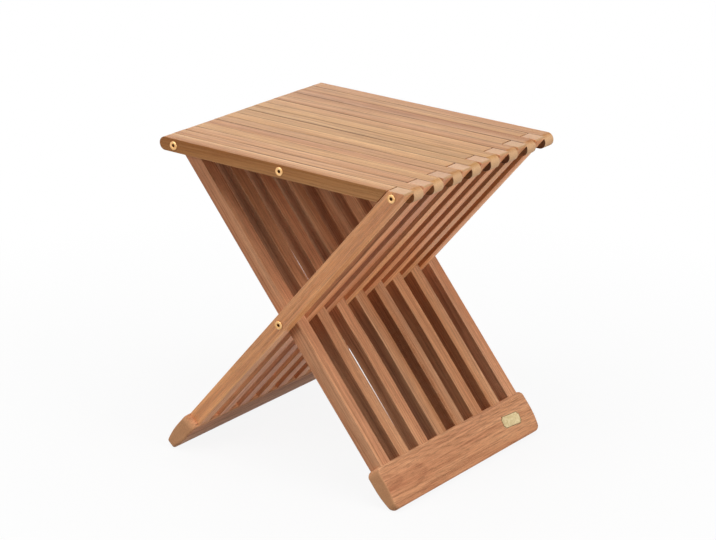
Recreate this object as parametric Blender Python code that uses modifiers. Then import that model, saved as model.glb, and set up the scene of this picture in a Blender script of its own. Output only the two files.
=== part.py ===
"""Folding stool: a slatted seat on two crossed frames of slats, turning on hollow brass axles.

X runs along the seat slats, Y across them, Z up. The origin is on the floor under the middle of the seat.
"""

import math

import bmesh
import bpy
from mathutils import Matrix, Vector

# Driving dimensions, in metres
SEAT_HEIGHT = 0.440  # floor to the top of the seat
SEAT_THICK = 0.0185  # seat slat, top to underside
HOOK_OVERHANG = 0.0244  # seat end beyond the hook axle
HINGE_OVERHANG = 0.0195  # long slat's end beyond the hinge axle
AXLE_SPAN = 0.3544  # hook axle to hinge axle
CROSS_HEIGHT = 0.2204  # floor to the axle where the legs cross
PAIRS = 8  # pairs of neighbouring columns
SLAT_WIDTH = 0.0209  # a slat or a leg, measured across the stool
SLAT_GAP = 0.0004  # between neighbouring columns
LEG_WIDTH = 0.0208  # a leg seen from the side
EDGE_EASE = 0.0006  # eased edges of slats and legs
TIP_ROUND = 0.002  # rounded tip of a hinge leg
SEAM_GAP = 0.0012  # short slat to hinge leg
FOOT_HEIGHT = 0.0598  # foot, measured along the legs
FOOT_PROUD = 0.0009  # foot's wide face beyond the legs
FOOT_TOE = 0.0128  # foot's thickness at its lower end
FOOT_TAPER = 0.038  # height over which the foot narrows to its lower end
FOOT_EDGE = 0.003  # rounding of the foot's long edges
FOOT_CORNER = 0.010  # rounding of the foot's wide face at its ends
FOOT_FLAT = 0.0005  # depth of the flat that stands on the floor
TENON_SHOULDER = 0.005  # leg's shoulder beside its tenon
TENON_FLOOR = 0.0335  # wood between a tenon and the foot's lower end
AXLE_DIAMETER = 0.008
AXLE_WALL = 0.0007
RING_LIP = 0.002  # ring's flange beyond the axle
RING_THICK = 0.0012
RING_ROUND = 0.0004
RING_WALL = 0.0008  # ring's spigot
SPIGOT_LENGTH = 0.006
FIT = 0.0003  # clearance of pieces that touch
HOOK_HEIGHT = 0.003  # hook's wall above the axle's centre
HOOK_OPENING = math.radians(48)  # hook's open side, below the level of the axle's centre
POCKET_CLEAR = 0.001  # room round the hook under a long slat
POCKET_SWING = 0.004  # room on the side to which the hook swings out

# Facets of round forms
NOSE_STEPS = 10
TIP_STEPS = 5
FOOT_STEPS = 3
HOOK_STEPS = 8
TAPER_STEPS = 4
ROUND_STEPS = 24
SMOOTH_ANGLE = math.radians(40)  # facets that meet at less than this look like one surface
WELD = 1e-6  # points nearer than this are one

# Places worked out from the driving dimensions
PITCH = SLAT_WIDTH + SLAT_GAP
COLUMNS = 2 * PAIRS
HALF_SPAN = AXLE_SPAN / 2
HALF_THICK = SEAT_THICK / 2
HALF_LEG = LEG_WIDTH / 2
AXLE_HEIGHT = SEAT_HEIGHT - HALF_THICK
OFF_MIDDLE = (HOOK_OVERHANG - HINGE_OVERHANG) / 2
TENON_DEPTH = FOOT_HEIGHT - TENON_FLOOR
SIDE_FACE = (COLUMNS * PITCH - SLAT_GAP) / 2
LEG_ANGLE = math.atan2(AXLE_HEIGHT - CROSS_HEIGHT, HALF_SPAN)
LEAN = math.pi / 2 - LEG_ANGLE
UPPER_LEG = math.hypot(AXLE_HEIGHT - CROSS_HEIGHT, HALF_SPAN)
AXLE_RADIUS = AXLE_DIAMETER / 2
BORE_RADIUS = AXLE_RADIUS + FIT
FOOT_THICK = LEG_WIDTH + 2 * FOOT_PROUD
FOOT_NARROWING = (FOOT_THICK - FOOT_TOE) / 2
TOE_RISE = FOOT_TAPER / TAPER_STEPS
TOE_SPREAD = FOOT_NARROWING * (1 - (1 - 1 / TAPER_STEPS) ** 2)
TOE_CORNER = math.pi / 2 + math.atan2(TOE_SPREAD, TOE_RISE)
TOE_IN = FOOT_TOE / 2 - FOOT_EDGE / math.tan(TOE_CORNER / 2)
FOOT_ROUND_DROP = TOE_IN * math.cos(LEG_ANGLE) + FOOT_EDGE
FOOT_END = FOOT_EDGE + (CROSS_HEIGHT + FOOT_FLAT - FOOT_ROUND_DROP) / math.sin(LEG_ANGLE)
FOOT_TOP = FOOT_END - FOOT_HEIGHT
SHOULDER = UPPER_LEG + FOOT_TOP - FIT
FOOT_LENGTH = COLUMNS * PITCH
HINGE = Vector((OFF_MIDDLE + HALF_SPAN, 0, AXLE_HEIGHT))
HOOK = Vector((OFF_MIDDLE - HALF_SPAN, 0, AXLE_HEIGHT))
MIDDLE = Vector((OFF_MIDDLE, 0, AXLE_HEIGHT))
CROSS = Vector((OFF_MIDDLE, 0, CROSS_HEIGHT))


def column_y(column):
    """Middle of a column, counted from 1 at the front."""
    return (column - (COLUMNS + 1) / 2) * PITCH


def collection(name):
    made = bpy.data.collections.new(name)
    bpy.context.scene.collection.children.link(made)
    return made


def material(name, colour, roughness, metallic=0.0):
    made = bpy.data.materials.new(name)
    made.use_nodes = True
    shader = made.node_tree.nodes["Principled BSDF"]
    shader.inputs["Base Color"].default_value = (*colour, 1)
    shader.inputs["Roughness"].default_value = roughness
    shader.inputs["Metallic"].default_value = metallic
    return made


def place(name, mesh, group, skin, location, lean=0.0, parent=None):
    """One piece of the stool, at a place given in the stool's own frame."""
    made = bpy.data.objects.new(name, mesh)
    group.objects.link(made)
    if not mesh.materials:
        mesh.materials.append(skin)
    made.rotation_euler = (0, lean, 0)
    made.location = location
    if parent:
        made.parent = parent
        made.location = Vector(location) - parent.location
    return made


def pivot(name, group, location):
    made = bpy.data.objects.new(name, None)
    made.empty_display_size = AXLE_DIAMETER
    group.objects.link(made)
    made.location = location
    return made


# Outlines and the solids made from them


def arc(centre, radius, start, end, steps):
    turn = [start + (end - start) * step / steps for step in range(steps + 1)]
    return [(centre[0] + radius * math.cos(a), centre[1] + radius * math.sin(a)) for a in turn]


def rounded(corners, steps):
    """Outline through (x, z, radius) corners, each with its radius."""
    points = []
    for index, (x, z, radius) in enumerate(corners):
        here = Vector((x, z))
        if not radius:
            points.append(here)
            continue
        back = (Vector(corners[index - 1][:2]) - here).normalized()
        on = (Vector(corners[(index + 1) % len(corners)][:2]) - here).normalized()
        half = back.angle(on) / 2
        centre = here + (back + on).normalized() * radius / math.sin(half)
        start = here + back * radius / math.tan(half) - centre
        turn = math.copysign(math.pi - 2 * half, back.cross(on))
        for step in range(steps + 1):
            points.append(centre + Matrix.Rotation(-turn * step / steps, 2) @ start)
    return points


def solid(name, outline, thick, ease=0.0):
    """Closed mesh of an outline in X and Z, with its thickness along Y and its edges eased."""
    curve = bpy.data.curves.new(name, "CURVE")
    curve.dimensions = "2D"
    curve.fill_mode = "BOTH"
    curve.extrude = thick / 2 - ease
    curve.bevel_depth = ease
    curve.bevel_resolution = 0
    curve.offset = -ease
    spline = curve.splines.new("POLY")
    spline.points.add(len(outline) - 1)
    for point, (x, z) in zip(spline.points, outline):
        point.co = (x, z, 0, 1)
    spline.use_cyclic_u = True
    drawn = bpy.data.objects.new(name, curve)
    bpy.context.scene.collection.objects.link(drawn)
    bpy.context.view_layer.update()
    mesh = bpy.data.meshes.new_from_object(drawn.evaluated_get(bpy.context.evaluated_depsgraph_get()))
    bpy.data.objects.remove(drawn)
    mesh.transform(Matrix.Rotation(math.pi / 2, 4, "X"))
    welded = bmesh.new()
    welded.from_mesh(mesh)
    bmesh.ops.remove_doubles(welded, verts=welded.verts, dist=WELD)
    bmesh.ops.recalc_face_normals(welded, faces=welded.faces)
    welded.to_mesh(mesh)
    welded.free()
    mesh.name = name
    return mesh


def smooth(mesh):
    mesh.shade_smooth()
    mesh.set_sharp_from_angle(angle=SMOOTH_ANGLE)
    return mesh


def cutter(name, mesh, group, location=(0, 0, 0), lean=0.0):
    made = bpy.data.objects.new(name, mesh)
    group.objects.link(made)
    made.location = location
    made.rotation_euler = (0, lean, 0)
    made.hide_render = True
    made.display_type = "WIRE"
    return made


def cut(name, mesh, location, lean, cutters):
    """The mesh with cutters taken out of it where the piece stands."""
    held = bpy.data.objects.new(name, mesh)
    bpy.context.scene.collection.objects.link(held)
    held.location = location
    held.rotation_euler = (0, lean, 0)
    for tool in cutters:
        step = held.modifiers.new(tool.name, "BOOLEAN")
        step.operation = "DIFFERENCE"
        step.object = tool
    bpy.context.view_layer.update()
    done = bpy.data.meshes.new_from_object(held.evaluated_get(bpy.context.evaluated_depsgraph_get()))
    bpy.data.objects.remove(held)
    done.name = name
    return smooth(done)


def box(name, size):
    mesh = bpy.data.meshes.new(name)
    made = bmesh.new()
    bmesh.ops.create_cube(made, size=1, matrix=Matrix.Diagonal((*size, 1)))
    made.to_mesh(mesh)
    made.free()
    return mesh


def turned(name, profile, group):
    """Ring-shaped piece turned about its own Z from a closed profile of (radius, height) points."""
    mesh = bpy.data.meshes.new(name)
    drawn = bmesh.new()
    points = [drawn.verts.new((radius, 0, height)) for radius, height in profile]
    for index, point in enumerate(points):
        drawn.edges.new((points[index - 1], point))
    drawn.to_mesh(mesh)
    drawn.free()
    held = bpy.data.objects.new(name, mesh)
    group.objects.link(held)
    screw = held.modifiers.new("turned", "SCREW")
    screw.axis = "Z"
    screw.steps = ROUND_STEPS
    screw.render_steps = ROUND_STEPS
    screw.use_merge_vertices = True
    screw.merge_threshold = WELD
    bpy.context.view_layer.update()
    done = bpy.data.meshes.new_from_object(held.evaluated_get(bpy.context.evaluated_depsgraph_get()))
    bpy.data.objects.remove(held)
    done.name = name
    return smooth(done)


# Outlines of the wooden pieces, seen from the front


def nose(side):
    """Half-round seat end, from its top round to its underside on the left, or back up on the right."""
    overhang = HINGE_OVERHANG if side > 0 else HOOK_OVERHANG
    centre = (side * (HALF_SPAN + overhang - HALF_THICK), 0)
    start = -side * math.pi / 2
    return arc(centre, HALF_THICK, start, start + math.pi, NOSE_STEPS)


def long_slat_outline():
    return nose(-1) + nose(1)


def short_slat_outline():
    seam = HALF_SPAN - (HALF_LEG + SEAM_GAP) / math.sin(LEG_ANGLE)
    slant = HALF_THICK / math.tan(LEG_ANGLE)
    return nose(-1) + [(seam - slant, -HALF_THICK), (seam + slant, HALF_THICK)]


def leg_end_outline():
    """Lower end of an upright leg, before its shoulders are cut."""
    tip = -SHOULDER - TENON_DEPTH
    return [(-HALF_LEG, tip), (HALF_LEG, tip)]


def hinge_leg_outline():
    """Upright leg about the hinge axle, with the top that lies level once the leg leans."""
    left_top = (HALF_THICK - HALF_LEG * math.sin(LEAN)) / math.cos(LEAN)
    right_top = (HALF_THICK + HALF_LEG * math.sin(LEAN)) / math.cos(LEAN)
    corners = [(-HALF_LEG, left_top, 0)]
    corners += [(x, z, 0) for x, z in leg_end_outline()]
    corners.append((HALF_LEG, right_top, TIP_ROUND))
    return rounded(corners, TIP_STEPS)


def hook_leg_outline():
    """Upright leg about the hook axle, with a saddle that the axle lifts out of up and to the left."""
    ledge = BORE_RADIUS * math.sin(HOOK_OPENING)
    left_top = (HALF_LEG * math.sin(LEAN) - ledge) / math.cos(LEAN)
    right_top = (HOOK_HEIGHT - HALF_LEG * math.sin(LEAN)) / math.cos(LEAN)
    back = Matrix.Rotation(-LEAN, 2)
    saddle = arc((0, 0), BORE_RADIUS, math.pi + HOOK_OPENING, 2 * math.pi, HOOK_STEPS)
    saddle.append((BORE_RADIUS, HOOK_HEIGHT))
    top = [back @ Vector(point) for point in reversed(saddle)]
    return [(HALF_LEG, right_top)] + top + [(-HALF_LEG, left_top)] + leg_end_outline()


def pocket_outline():
    """Room for a hook in the underside of a long slat, about the hook axle."""
    ledge = BORE_RADIUS * math.sin(HOOK_OPENING)
    left = -HALF_LEG / math.sin(LEG_ANGLE) + ledge / math.tan(LEG_ANGLE) - POCKET_CLEAR
    right = (HALF_LEG + POCKET_SWING) / math.sin(LEG_ANGLE)
    roof = HOOK_HEIGHT + POCKET_CLEAR
    floor = -SEAT_THICK
    slope = 1 / math.tan(LEG_ANGLE)
    right_side = [(right - floor * slope, floor), (right - roof * slope, roof)]
    left_side = [(0, roof), (0, POCKET_CLEAR - ledge), (left, POCKET_CLEAR - ledge), (left, floor)]
    return right_side + left_side


def foot_section():
    """Section of an upright foot, with sides that narrow in a curve to its lower end."""
    bottom = -FOOT_HEIGHT / 2
    toe = FOOT_TOE / 2
    wide = FOOT_THICK / 2
    side = []
    for step in range(1, TAPER_STEPS + 1):
        left_over = 1 - step / TAPER_STEPS
        side.append((wide - FOOT_NARROWING * left_over**2, bottom + TOE_RISE * step, 0))
    corners = [(-toe, bottom, FOOT_EDGE), (toe, bottom, FOOT_EDGE), *side]
    corners += [(wide, -bottom, FOOT_EDGE), (-wide, -bottom, FOOT_EDGE)]
    corners += [(-x, z, 0) for x, z, _ in reversed(side)]
    return rounded(corners, FOOT_STEPS)


def foot_stations():
    """Places along a foot, each with how much thinner and lower the foot is there than at its middle."""
    quarter = [math.pi / 2 * step / FOOT_STEPS for step in range(FOOT_STEPS + 1)]
    setbacks = {FOOT_CORNER * (1 - math.cos(a)) for a in quarter}
    setbacks |= {FOOT_EDGE * (1 - math.cos(a)) for a in quarter[1:]}
    front = []
    for setback in sorted(setbacks):
        thinner = FOOT_EDGE - math.sqrt(FOOT_EDGE**2 - max(FOOT_EDGE - setback, 0) ** 2)
        lower = FOOT_CORNER - math.sqrt(FOOT_CORNER**2 - (FOOT_CORNER - setback) ** 2)
        front.append((setback - FOOT_LENGTH / 2, thinner, lower))
    return front + [(-y, thinner, lower) for y, thinner, lower in reversed(front)]


def foot_bar(name):
    """Closed mesh of a foot before its mortises: its section carried along Y, with rounded ends."""
    section = foot_section()
    made = bmesh.new()
    rings = []
    for y, thinner, lower in foot_stations():
        across = 1 - thinner / (FOOT_THICK / 2)
        up = 1 - lower / (FOOT_HEIGHT / 2)
        rings.append([made.verts.new((x * across, y, z * up)) for x, z in section])
    for near, far in zip(rings, rings[1:]):
        for index in range(len(section)):
            made.faces.new((near[index - 1], near[index], far[index], far[index - 1]))
    made.faces.new(rings[0])
    made.faces.new(rings[-1])
    bmesh.ops.recalc_face_normals(made, faces=made.faces)
    mesh = bpy.data.meshes.new(name)
    made.to_mesh(mesh)
    made.free()
    return mesh


# Sub-parts


def make_bores(group):
    """Straight round cutters along the four axles."""
    bores = {}
    for name, centre in (("hook", HOOK), ("middle", MIDDLE), ("hinge", HINGE), ("cross", CROSS)):
        mesh = bpy.data.meshes.new(name + "_bore")
        made = bmesh.new()
        bmesh.ops.create_cone(
            made,
            cap_ends=True,
            segments=ROUND_STEPS,
            radius1=BORE_RADIUS,
            radius2=BORE_RADIUS,
            depth=2 * FOOT_LENGTH,
            matrix=Matrix.Rotation(math.pi / 2, 4, "X"),
        )
        made.to_mesh(mesh)
        made.free()
        bores[name] = cutter(name + "_bore", mesh, group, centre)
    return bores


def make_shoulders(name, group, centre, lean):
    """Cutters that leave the tenon on a leaning leg's lower end."""
    size = (2 * TENON_SHOULDER, 2 * PITCH, 2 * TENON_DEPTH)
    tools = []
    for side in (-1, 1):
        corner = Vector((side * HALF_LEG, 0, -SHOULDER - TENON_DEPTH))
        at = centre + Matrix.Rotation(lean, 3, "Y") @ corner
        tools.append(cutter(f"{name}_shoulder", box("shoulder", size), group, at, lean))
    return tools


def make_seat(group, cutters, bores, wood, parent):
    pocket = cutter("pocket", solid("pocket", pocket_outline(), 2 * PITCH), cutters, HOOK)
    short = solid("short_slat", short_slat_outline(), SLAT_WIDTH, EDGE_EASE)
    short = cut("short_slat", short, MIDDLE, 0, [bores["hook"], bores["middle"]])
    long = solid("long_slat", long_slat_outline(), SLAT_WIDTH, EDGE_EASE)
    long = cut("long_slat", long, MIDDLE, 0, [pocket, bores["hook"], bores["middle"], bores["hinge"]])
    for column in range(1, COLUMNS + 1):
        mesh = short if column % 2 else long
        at = MIDDLE + Vector((0, column_y(column), 0))
        place(f"seat_slat_{column:02d}", mesh, group, wood, at, parent=parent)


def make_hinge_legs(group, cutters, bores, wood):
    leg = solid("hinge_leg", hinge_leg_outline(), SLAT_WIDTH, EDGE_EASE)
    tools = make_shoulders("hinge_leg", cutters, HINGE, LEAN)
    leg = cut("hinge_leg", leg, HINGE, LEAN, [bores["hinge"], bores["cross"], *tools])
    for pair in range(1, PAIRS + 1):
        at = HINGE + Vector((0, column_y(2 * pair - 1), 0))
        place(f"hinge_leg_{pair}", leg, group, wood, at, LEAN)


def make_hook_legs(group, cutters, bores, wood, parent):
    leg = solid("hook_leg", hook_leg_outline(), SLAT_WIDTH, EDGE_EASE)
    tools = make_shoulders("hook_leg", cutters, HOOK, -LEAN)
    leg = cut("hook_leg", leg, HOOK, -LEAN, [bores["cross"], *tools])
    for pair in range(1, PAIRS + 1):
        at = HOOK + Vector((0, column_y(2 * pair), 0))
        place(f"hook_leg_{pair}", leg, group, wood, at, -LEAN, parent)


def make_foot(name, group, cutters, wood, side, parent=None):
    """A foot on the left (side -1) or the right (side 1), with a mortise for each of its legs."""
    lean = -side * LEAN
    down = Vector((side * math.cos(LEG_ANGLE), 0, -math.sin(LEG_ANGLE)))
    middle_y = side * PITCH / 2
    at = CROSS + down * (FOOT_TOP + FOOT_HEIGHT / 2) + Vector((0, middle_y, 0))
    tenon_thick = LEG_WIDTH - 2 * TENON_SHOULDER
    mortise = (tenon_thick + 2 * FIT, SLAT_WIDTH + 2 * FIT, 2 * (TENON_DEPTH + FIT))
    tools = []
    for pair in range(PAIRS):
        y = column_y(2 * pair + (2 if side > 0 else 1))
        top = CROSS + down * FOOT_TOP + Vector((0, y, 0))
        tools.append(cutter(f"{name}_mortise_{pair + 1}", box("mortise", mortise), cutters, top, lean))
    floor_size = (2 * AXLE_SPAN, 2 * FOOT_LENGTH, FOOT_HEIGHT)
    floor_at = (0, 0, -FOOT_HEIGHT / 2)
    tools.append(cutter(name + "_floor", box("floor", floor_size), cutters, floor_at))
    place(name, cut(name, foot_bar(name), at, lean, tools), group, wood, at, lean, parent)


def make_axles(group, brass, parent):
    """A hollow rod for each axle, with a flanged ring at each end."""
    inner = AXLE_RADIUS - AXLE_WALL
    outside = [(AXLE_RADIUS, SIDE_FACE), (AXLE_RADIUS, -SIDE_FACE)]
    rod = turned("axle_rod", outside + [(inner, -SIDE_FACE), (inner, SIDE_FACE)], group)
    spigot = inner - FIT
    hole = spigot - RING_WALL
    rim = AXLE_RADIUS + RING_LIP
    ring_profile = [
        (hole, RING_THICK),
        (rim - RING_ROUND, RING_THICK),
        (rim, RING_THICK - RING_ROUND),
        (rim, 0),
        (spigot, 0),
        (spigot, -SPIGOT_LENGTH),
        (hole, -SPIGOT_LENGTH),
    ]
    ring = turned("axle_ring", ring_profile, group)
    for name, centre, held in (
        ("hook", HOOK, parent),
        ("middle", MIDDLE, parent),
        ("hinge", HINGE, None),
        ("cross", CROSS, None),
    ):
        axle = place(f"{name}_axle", rod, group, brass, centre, parent=held)
        axle.rotation_euler = (math.pi / 2, 0, 0)
        for end, side in (("front", -1), ("back", 1)):
            at = centre + Vector((0, side * (SIDE_FACE + FIT), 0))
            piece = place(f"{name}_ring_{end}", ring, group, brass, at, parent=held)
            piece.rotation_euler = (-side * math.pi / 2, 0, 0)


def main():
    for old in list(bpy.data.objects):
        bpy.data.objects.remove(old)
    stool = collection("folding_stool")
    cutters = collection("cutters")
    seat_wood = material("seat_teak", (0.53, 0.30, 0.14), 0.5)
    leg_wood = material("leg_teak", (0.47, 0.25, 0.11), 0.5)
    foot_wood = material("foot_teak", (0.50, 0.26, 0.13), 0.5)
    brass = material("brass", (0.72, 0.52, 0.24), 0.3, 1.0)
    seat_pivot = pivot("seat_pivot", stool, HINGE)
    fold_pivot = pivot("fold_pivot", stool, CROSS)
    bores = make_bores(cutters)
    make_seat(stool, cutters, bores, seat_wood, seat_pivot)
    make_hinge_legs(stool, cutters, bores, leg_wood)
    make_hook_legs(stool, cutters, bores, leg_wood, fold_pivot)
    make_foot("hinge_foot", stool, cutters, foot_wood, -1)
    make_foot("hook_foot", stool, cutters, foot_wood, 1, fold_pivot)
    make_axles(stool, brass, seat_pivot)


main()
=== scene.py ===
"""Folding stool: the finish of its teak boards and brass fittings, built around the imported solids."""

import math

import bmesh
import bpy
from mathutils import Matrix, Vector


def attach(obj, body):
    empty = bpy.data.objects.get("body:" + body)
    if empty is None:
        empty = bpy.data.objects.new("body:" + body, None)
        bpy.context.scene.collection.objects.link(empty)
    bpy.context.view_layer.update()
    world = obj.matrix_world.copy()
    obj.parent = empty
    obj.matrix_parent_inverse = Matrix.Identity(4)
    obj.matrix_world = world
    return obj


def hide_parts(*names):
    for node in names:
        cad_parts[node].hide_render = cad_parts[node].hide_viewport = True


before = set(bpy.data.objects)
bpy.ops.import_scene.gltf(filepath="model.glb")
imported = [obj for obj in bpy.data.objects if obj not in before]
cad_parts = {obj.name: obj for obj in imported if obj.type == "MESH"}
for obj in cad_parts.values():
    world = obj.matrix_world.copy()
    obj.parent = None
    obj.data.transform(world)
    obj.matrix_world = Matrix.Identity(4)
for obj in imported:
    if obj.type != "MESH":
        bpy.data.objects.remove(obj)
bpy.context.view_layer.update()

# Sizes of the stool, in metres, as its solids have them
SEAT_HEIGHT = 0.440
SEAT_THICK = 0.0185
HOOK_OVERHANG = 0.0244
HINGE_OVERHANG = 0.0195
AXLE_SPAN = 0.3544
CROSS_HEIGHT = 0.2204
PAIRS = 8
SLAT_WIDTH = 0.0209
SLAT_GAP = 0.0004
LEG_WIDTH = 0.0208
EDGE_EASE = 0.0006
TIP_ROUND = 0.002
SEAM_GAP = 0.0012
FOOT_HEIGHT = 0.0598
FOOT_PROUD = 0.0009
FOOT_TOE = 0.0128
FOOT_TAPER = 0.038
FOOT_EDGE = 0.003
FOOT_CORNER = 0.010
FOOT_END = 0.28455
BORE_RADIUS = 0.0043
RING_HOLE = 0.0022
RING_SPIGOT = 0.0030
RING_RIM = 0.0060
RING_THICK = 0.0012
SPIGOT_LENGTH = 0.006
FIT = 0.0003
HOOK_HEIGHT = 0.003
HOOK_OPENING = math.radians(48)
POCKET_CLEAR = 0.001
POCKET_SWING = 0.004

# Sizes that only the finish has
LEG_IN_FOOT = 0.0012
UNEVEN = (0.0004, 0.00008, 0.00012)
RING_LIP = 0.0009
RING_ROLL = 1.3 * RING_LIP
PLATE_LENGTH = 0.0400
PLATE_HEIGHT = 0.0172
PLATE_NOTCH = 0.0030
PLATE_THICK = 0.0009
PLATE_RIM = 0.0009
PLATE_SOFT = 0.0002
PLATE_FIELD = 1.2 * PLATE_SOFT
PLATE_DROP = 0.0302
PLATE_ALONG = 0.1287
PLATE_TILT = math.radians(4.7)

# Bow of the legs beside the open gap: most at one place along them, none by the crossing
LEG_CUT = 0.025
LEG_CUTS = 19
FIRST_CUT = 1.5
BOW = 0.0015
BOW_BACK = 0.26
BOW_COLUMN = 5.0
BOW_SLACK = 0.0002
BOW_PLACE = -0.325
BOW_REACH = 0.13
BOW_POWER = 2.0
PINCH_PLACE = -0.285
PINCH_REACH = 0.05
PINCH_POWER = 4.0

# Fineness of the meshes
EASE_STEPS = 2
NOSE_STEPS = 24
TIP_STEPS = 8
FOOT_STEPS = 8
TAPER_STEPS = 14
RING_STEPS = 48
LIP_STEPS = 4
ROLL_STEPS = 5
NOTCH_STEPS = 6
MERGE = 1e-6
SLOPE_STEP = 0.001
BOARD_CREASE = math.radians(38)
RING_CREASE = math.radians(50)
PLATE_CREASE = math.radians(30)

# Numbers that draw each board's own grain, tone and place
SEAT_SEED = 234
HINGE_SEED = 49
HOOK_SEED = 22
HINGE_FOOT_NUMBER = 0.31
HOOK_FOOT_NUMBER = 0.74

# Textures of the teak: waves per metre along, across and through a board
WANDER = (6, 16, 16)
DRIFT = (2.0, 55, 55)
STREAK = (6.0, 340, 340)
STROKE = (22.0, 1250, 1250)
FOOT_STROKE = (55.0, 620, 620)
PORE = (85.0, 2300, 2300)
END_DOT = (300, 1300, 1300)
SEAM_PATCH = (9, 20, 20)

# Layout of the grain: scale of its layers, how far apart boards lie, how far it sways, and a foot's pith
GROWTH = 95.0
BOARD_JUMP = (9.0, 3.0, 3.0)
SWAY = (0, 0.007, 0.007)
PITH_SWAY = (0, 0.010, 0.010)
PITH_LEAN = 0.10
PITH_ACROSS = 0.006
PITH_SHARE = 0.35
PITH_THROUGH = 0.030

# Shares of the marks in the wood's colour and in its depth
STREAK_SHARE = 0.6
STROKE_SHARE = 0.85
PORE_SHARE = 0.7
END_SHARE = 0.8
RUB_SHARE = 0.5
STROKE_DEPTH = 0.5
PORE_DEPTH = 0.6
STREAK_DEPTH = 0.4

# Dark tint on the sides of the boards, painted shade in the seams between them and an even darkening on the
# outer sides: its least share in the seams, its share on the outer sides, and where these begin
SEAM_LEAST = 0.25
SIDE_DARKENING = 0.34
SEAM_EDGE = 0.003

# Textures of the brass, in waves per metre
FILM = (260, 260, 260)
TURNING = (900, 900, 900)

# Places worked out from the sizes
PITCH = SLAT_WIDTH + SLAT_GAP
COLUMNS = 2 * PAIRS
HALF_SPAN = AXLE_SPAN / 2
HALF_THICK = SEAT_THICK / 2
HALF_LEG = LEG_WIDTH / 2
AXLE_HEIGHT = SEAT_HEIGHT - HALF_THICK
OFF_MIDDLE = (HOOK_OVERHANG - HINGE_OVERHANG) / 2
SIDE_FACE = (COLUMNS * PITCH - SLAT_GAP) / 2
LEG_ANGLE = math.atan2(AXLE_HEIGHT - CROSS_HEIGHT, HALF_SPAN)
LEAN = math.pi / 2 - LEG_ANGLE
UPPER_LEG = math.hypot(AXLE_HEIGHT - CROSS_HEIGHT, HALF_SPAN)
FOOT_THICK = LEG_WIDTH + 2 * FOOT_PROUD
FOOT_TOP = FOOT_END - FOOT_HEIGHT
FOOT_LENGTH = COLUMNS * PITCH
HINGE = Vector((OFF_MIDDLE + HALF_SPAN, 0, AXLE_HEIGHT))
HOOK = Vector((OFF_MIDDLE - HALF_SPAN, 0, AXLE_HEIGHT))
MIDDLE = Vector((OFF_MIDDLE, 0, AXLE_HEIGHT))
CROSS = Vector((OFF_MIDDLE, 0, CROSS_HEIGHT))

# Camera of the photograph
CAMERA_AT = (1.95305, -2.63496, 1.43235)
CAMERA_TURN = math.radians(36.49278)
CAMERA_RISE = math.radians(19.84399)
CAMERA_ROLL = math.radians(0.83121)
CAMERA_FOCUS = 2580.85958
IMAGE_WIDTH = 716
SENSOR_WIDTH = 36.0
FAR_CLIP = 100.0

# Studio: strength of the light all round, the floor, and each softbox's place, aim, width and power
AROUND = 0.02
FLOOR_REACH = 12.0
FLOOR_PALE = 0.85
FLOOR_BOUNCE = 0.28
FLOOR_WHITE = 0.90
FLOOR_NEAR = 0.35
FLOOR_FAR = 1.0
WHITE = (1, 1, 1, 1)
SOFTBOXES = {
    "top_light": ((0.3, -0.6, 3.6), (0, 0, 0.3), 3.0, 80.0),
    "front_light": ((-1.4, -4.2, 1.7), (0, 0, 0.25), 2.6, 105.0),
    "right_light": ((4.3, 0.1, 1.2), (0, 0, 0.25), 2.4, 112.0),
    "back_light": ((-3.0, 3.2, 1.6), (0, 0, 0.25), 2.6, 60.0),
}


def column_y(column):
    return (column - (COLUMNS + 1) / 2) * PITCH


def tint(red, green, blue):
    """Linear colour of a colour named by its display values."""
    shown = [value / 255 for value in (red, green, blue)]
    return tuple(c / 12.92 if c < 0.04045 else ((c + 0.055) / 1.055) ** 2.4 for c in shown) + (1,)


def tints(*shown):
    return [tint(*colour) for colour in shown]


# Colours of each wood: pale, middle and dark wood, its lines, and its cut ends. The parts may differ in
# tone, but the legs' and feet's colours are also made brighter than the seat's as painted light, for faces
# that the lamps light too little
SEAT_TINTS = tints((227, 179, 125), (206, 153, 99), (182, 126, 75), (138, 87, 48), (228, 184, 140))
HINGE_TINTS = tints((253, 192, 134), (240, 167, 114), (217, 142, 93), (171, 105, 65), (181, 145, 101))
HOOK_TINTS = tints((237, 185, 140), (218, 160, 117), (195, 135, 97), (155, 100, 68), (200, 149, 106))
FOOT_TINTS = tints((236, 184, 139), (216, 161, 118), (195, 136, 98), (145, 92, 63), (200, 147, 105))
# Dark tint for the sides of the boards: painted shade in the seams between them, and an even darkening on
# the outer sides
SEAM_TINT = tint(84, 50, 30)

# Colours of the brass: bright, dull, and the darker colour all round the plate's field
RING_BRIGHT = tint(226, 184, 132)
RING_DULL = tint(202, 155, 98)
PLATE_BRIGHT = tint(214, 196, 154)
PLATE_DULL = tint(192, 170, 126)
DARK_RIM_TINT = tint(104, 76, 44)

# Meshes and objects


def arc(centre, radius, start, end, steps):
    turn = [start + (end - start) * step / steps for step in range(steps + 1)]
    return [(centre[0] + radius * math.cos(a), centre[1] + radius * math.sin(a)) for a in turn]


def rounded(corners, steps):
    """Outline through (x, z, radius) corners, each with its radius."""
    points = []
    for index, (x, z, radius) in enumerate(corners):
        here = Vector((x, z))
        if not radius:
            points.append(here)
            continue
        back = (Vector(corners[index - 1][:2]) - here).normalized()
        on = (Vector(corners[(index + 1) % len(corners)][:2]) - here).normalized()
        half = back.angle(on) / 2
        centre = here + (back + on).normalized() * radius / math.sin(half)
        start = here + back * radius / math.tan(half) - centre
        turn = math.copysign(math.pi - 2 * half, back.cross(on))
        for step in range(steps + 1):
            points.append(centre + Matrix.Rotation(-turn * step / steps, 2) @ start)
    return points


def skinned(made, loops, capped=True):
    """Faces between each loop of points and the next, and on the first and last loop."""
    for near, far in zip(loops, loops[1:]):
        for index in range(len(near)):
            made.faces.new((near[index - 1], near[index], far[index], far[index - 1]))
    if capped:
        made.faces.new(loops[0])
        made.faces.new(loops[-1])


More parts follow.
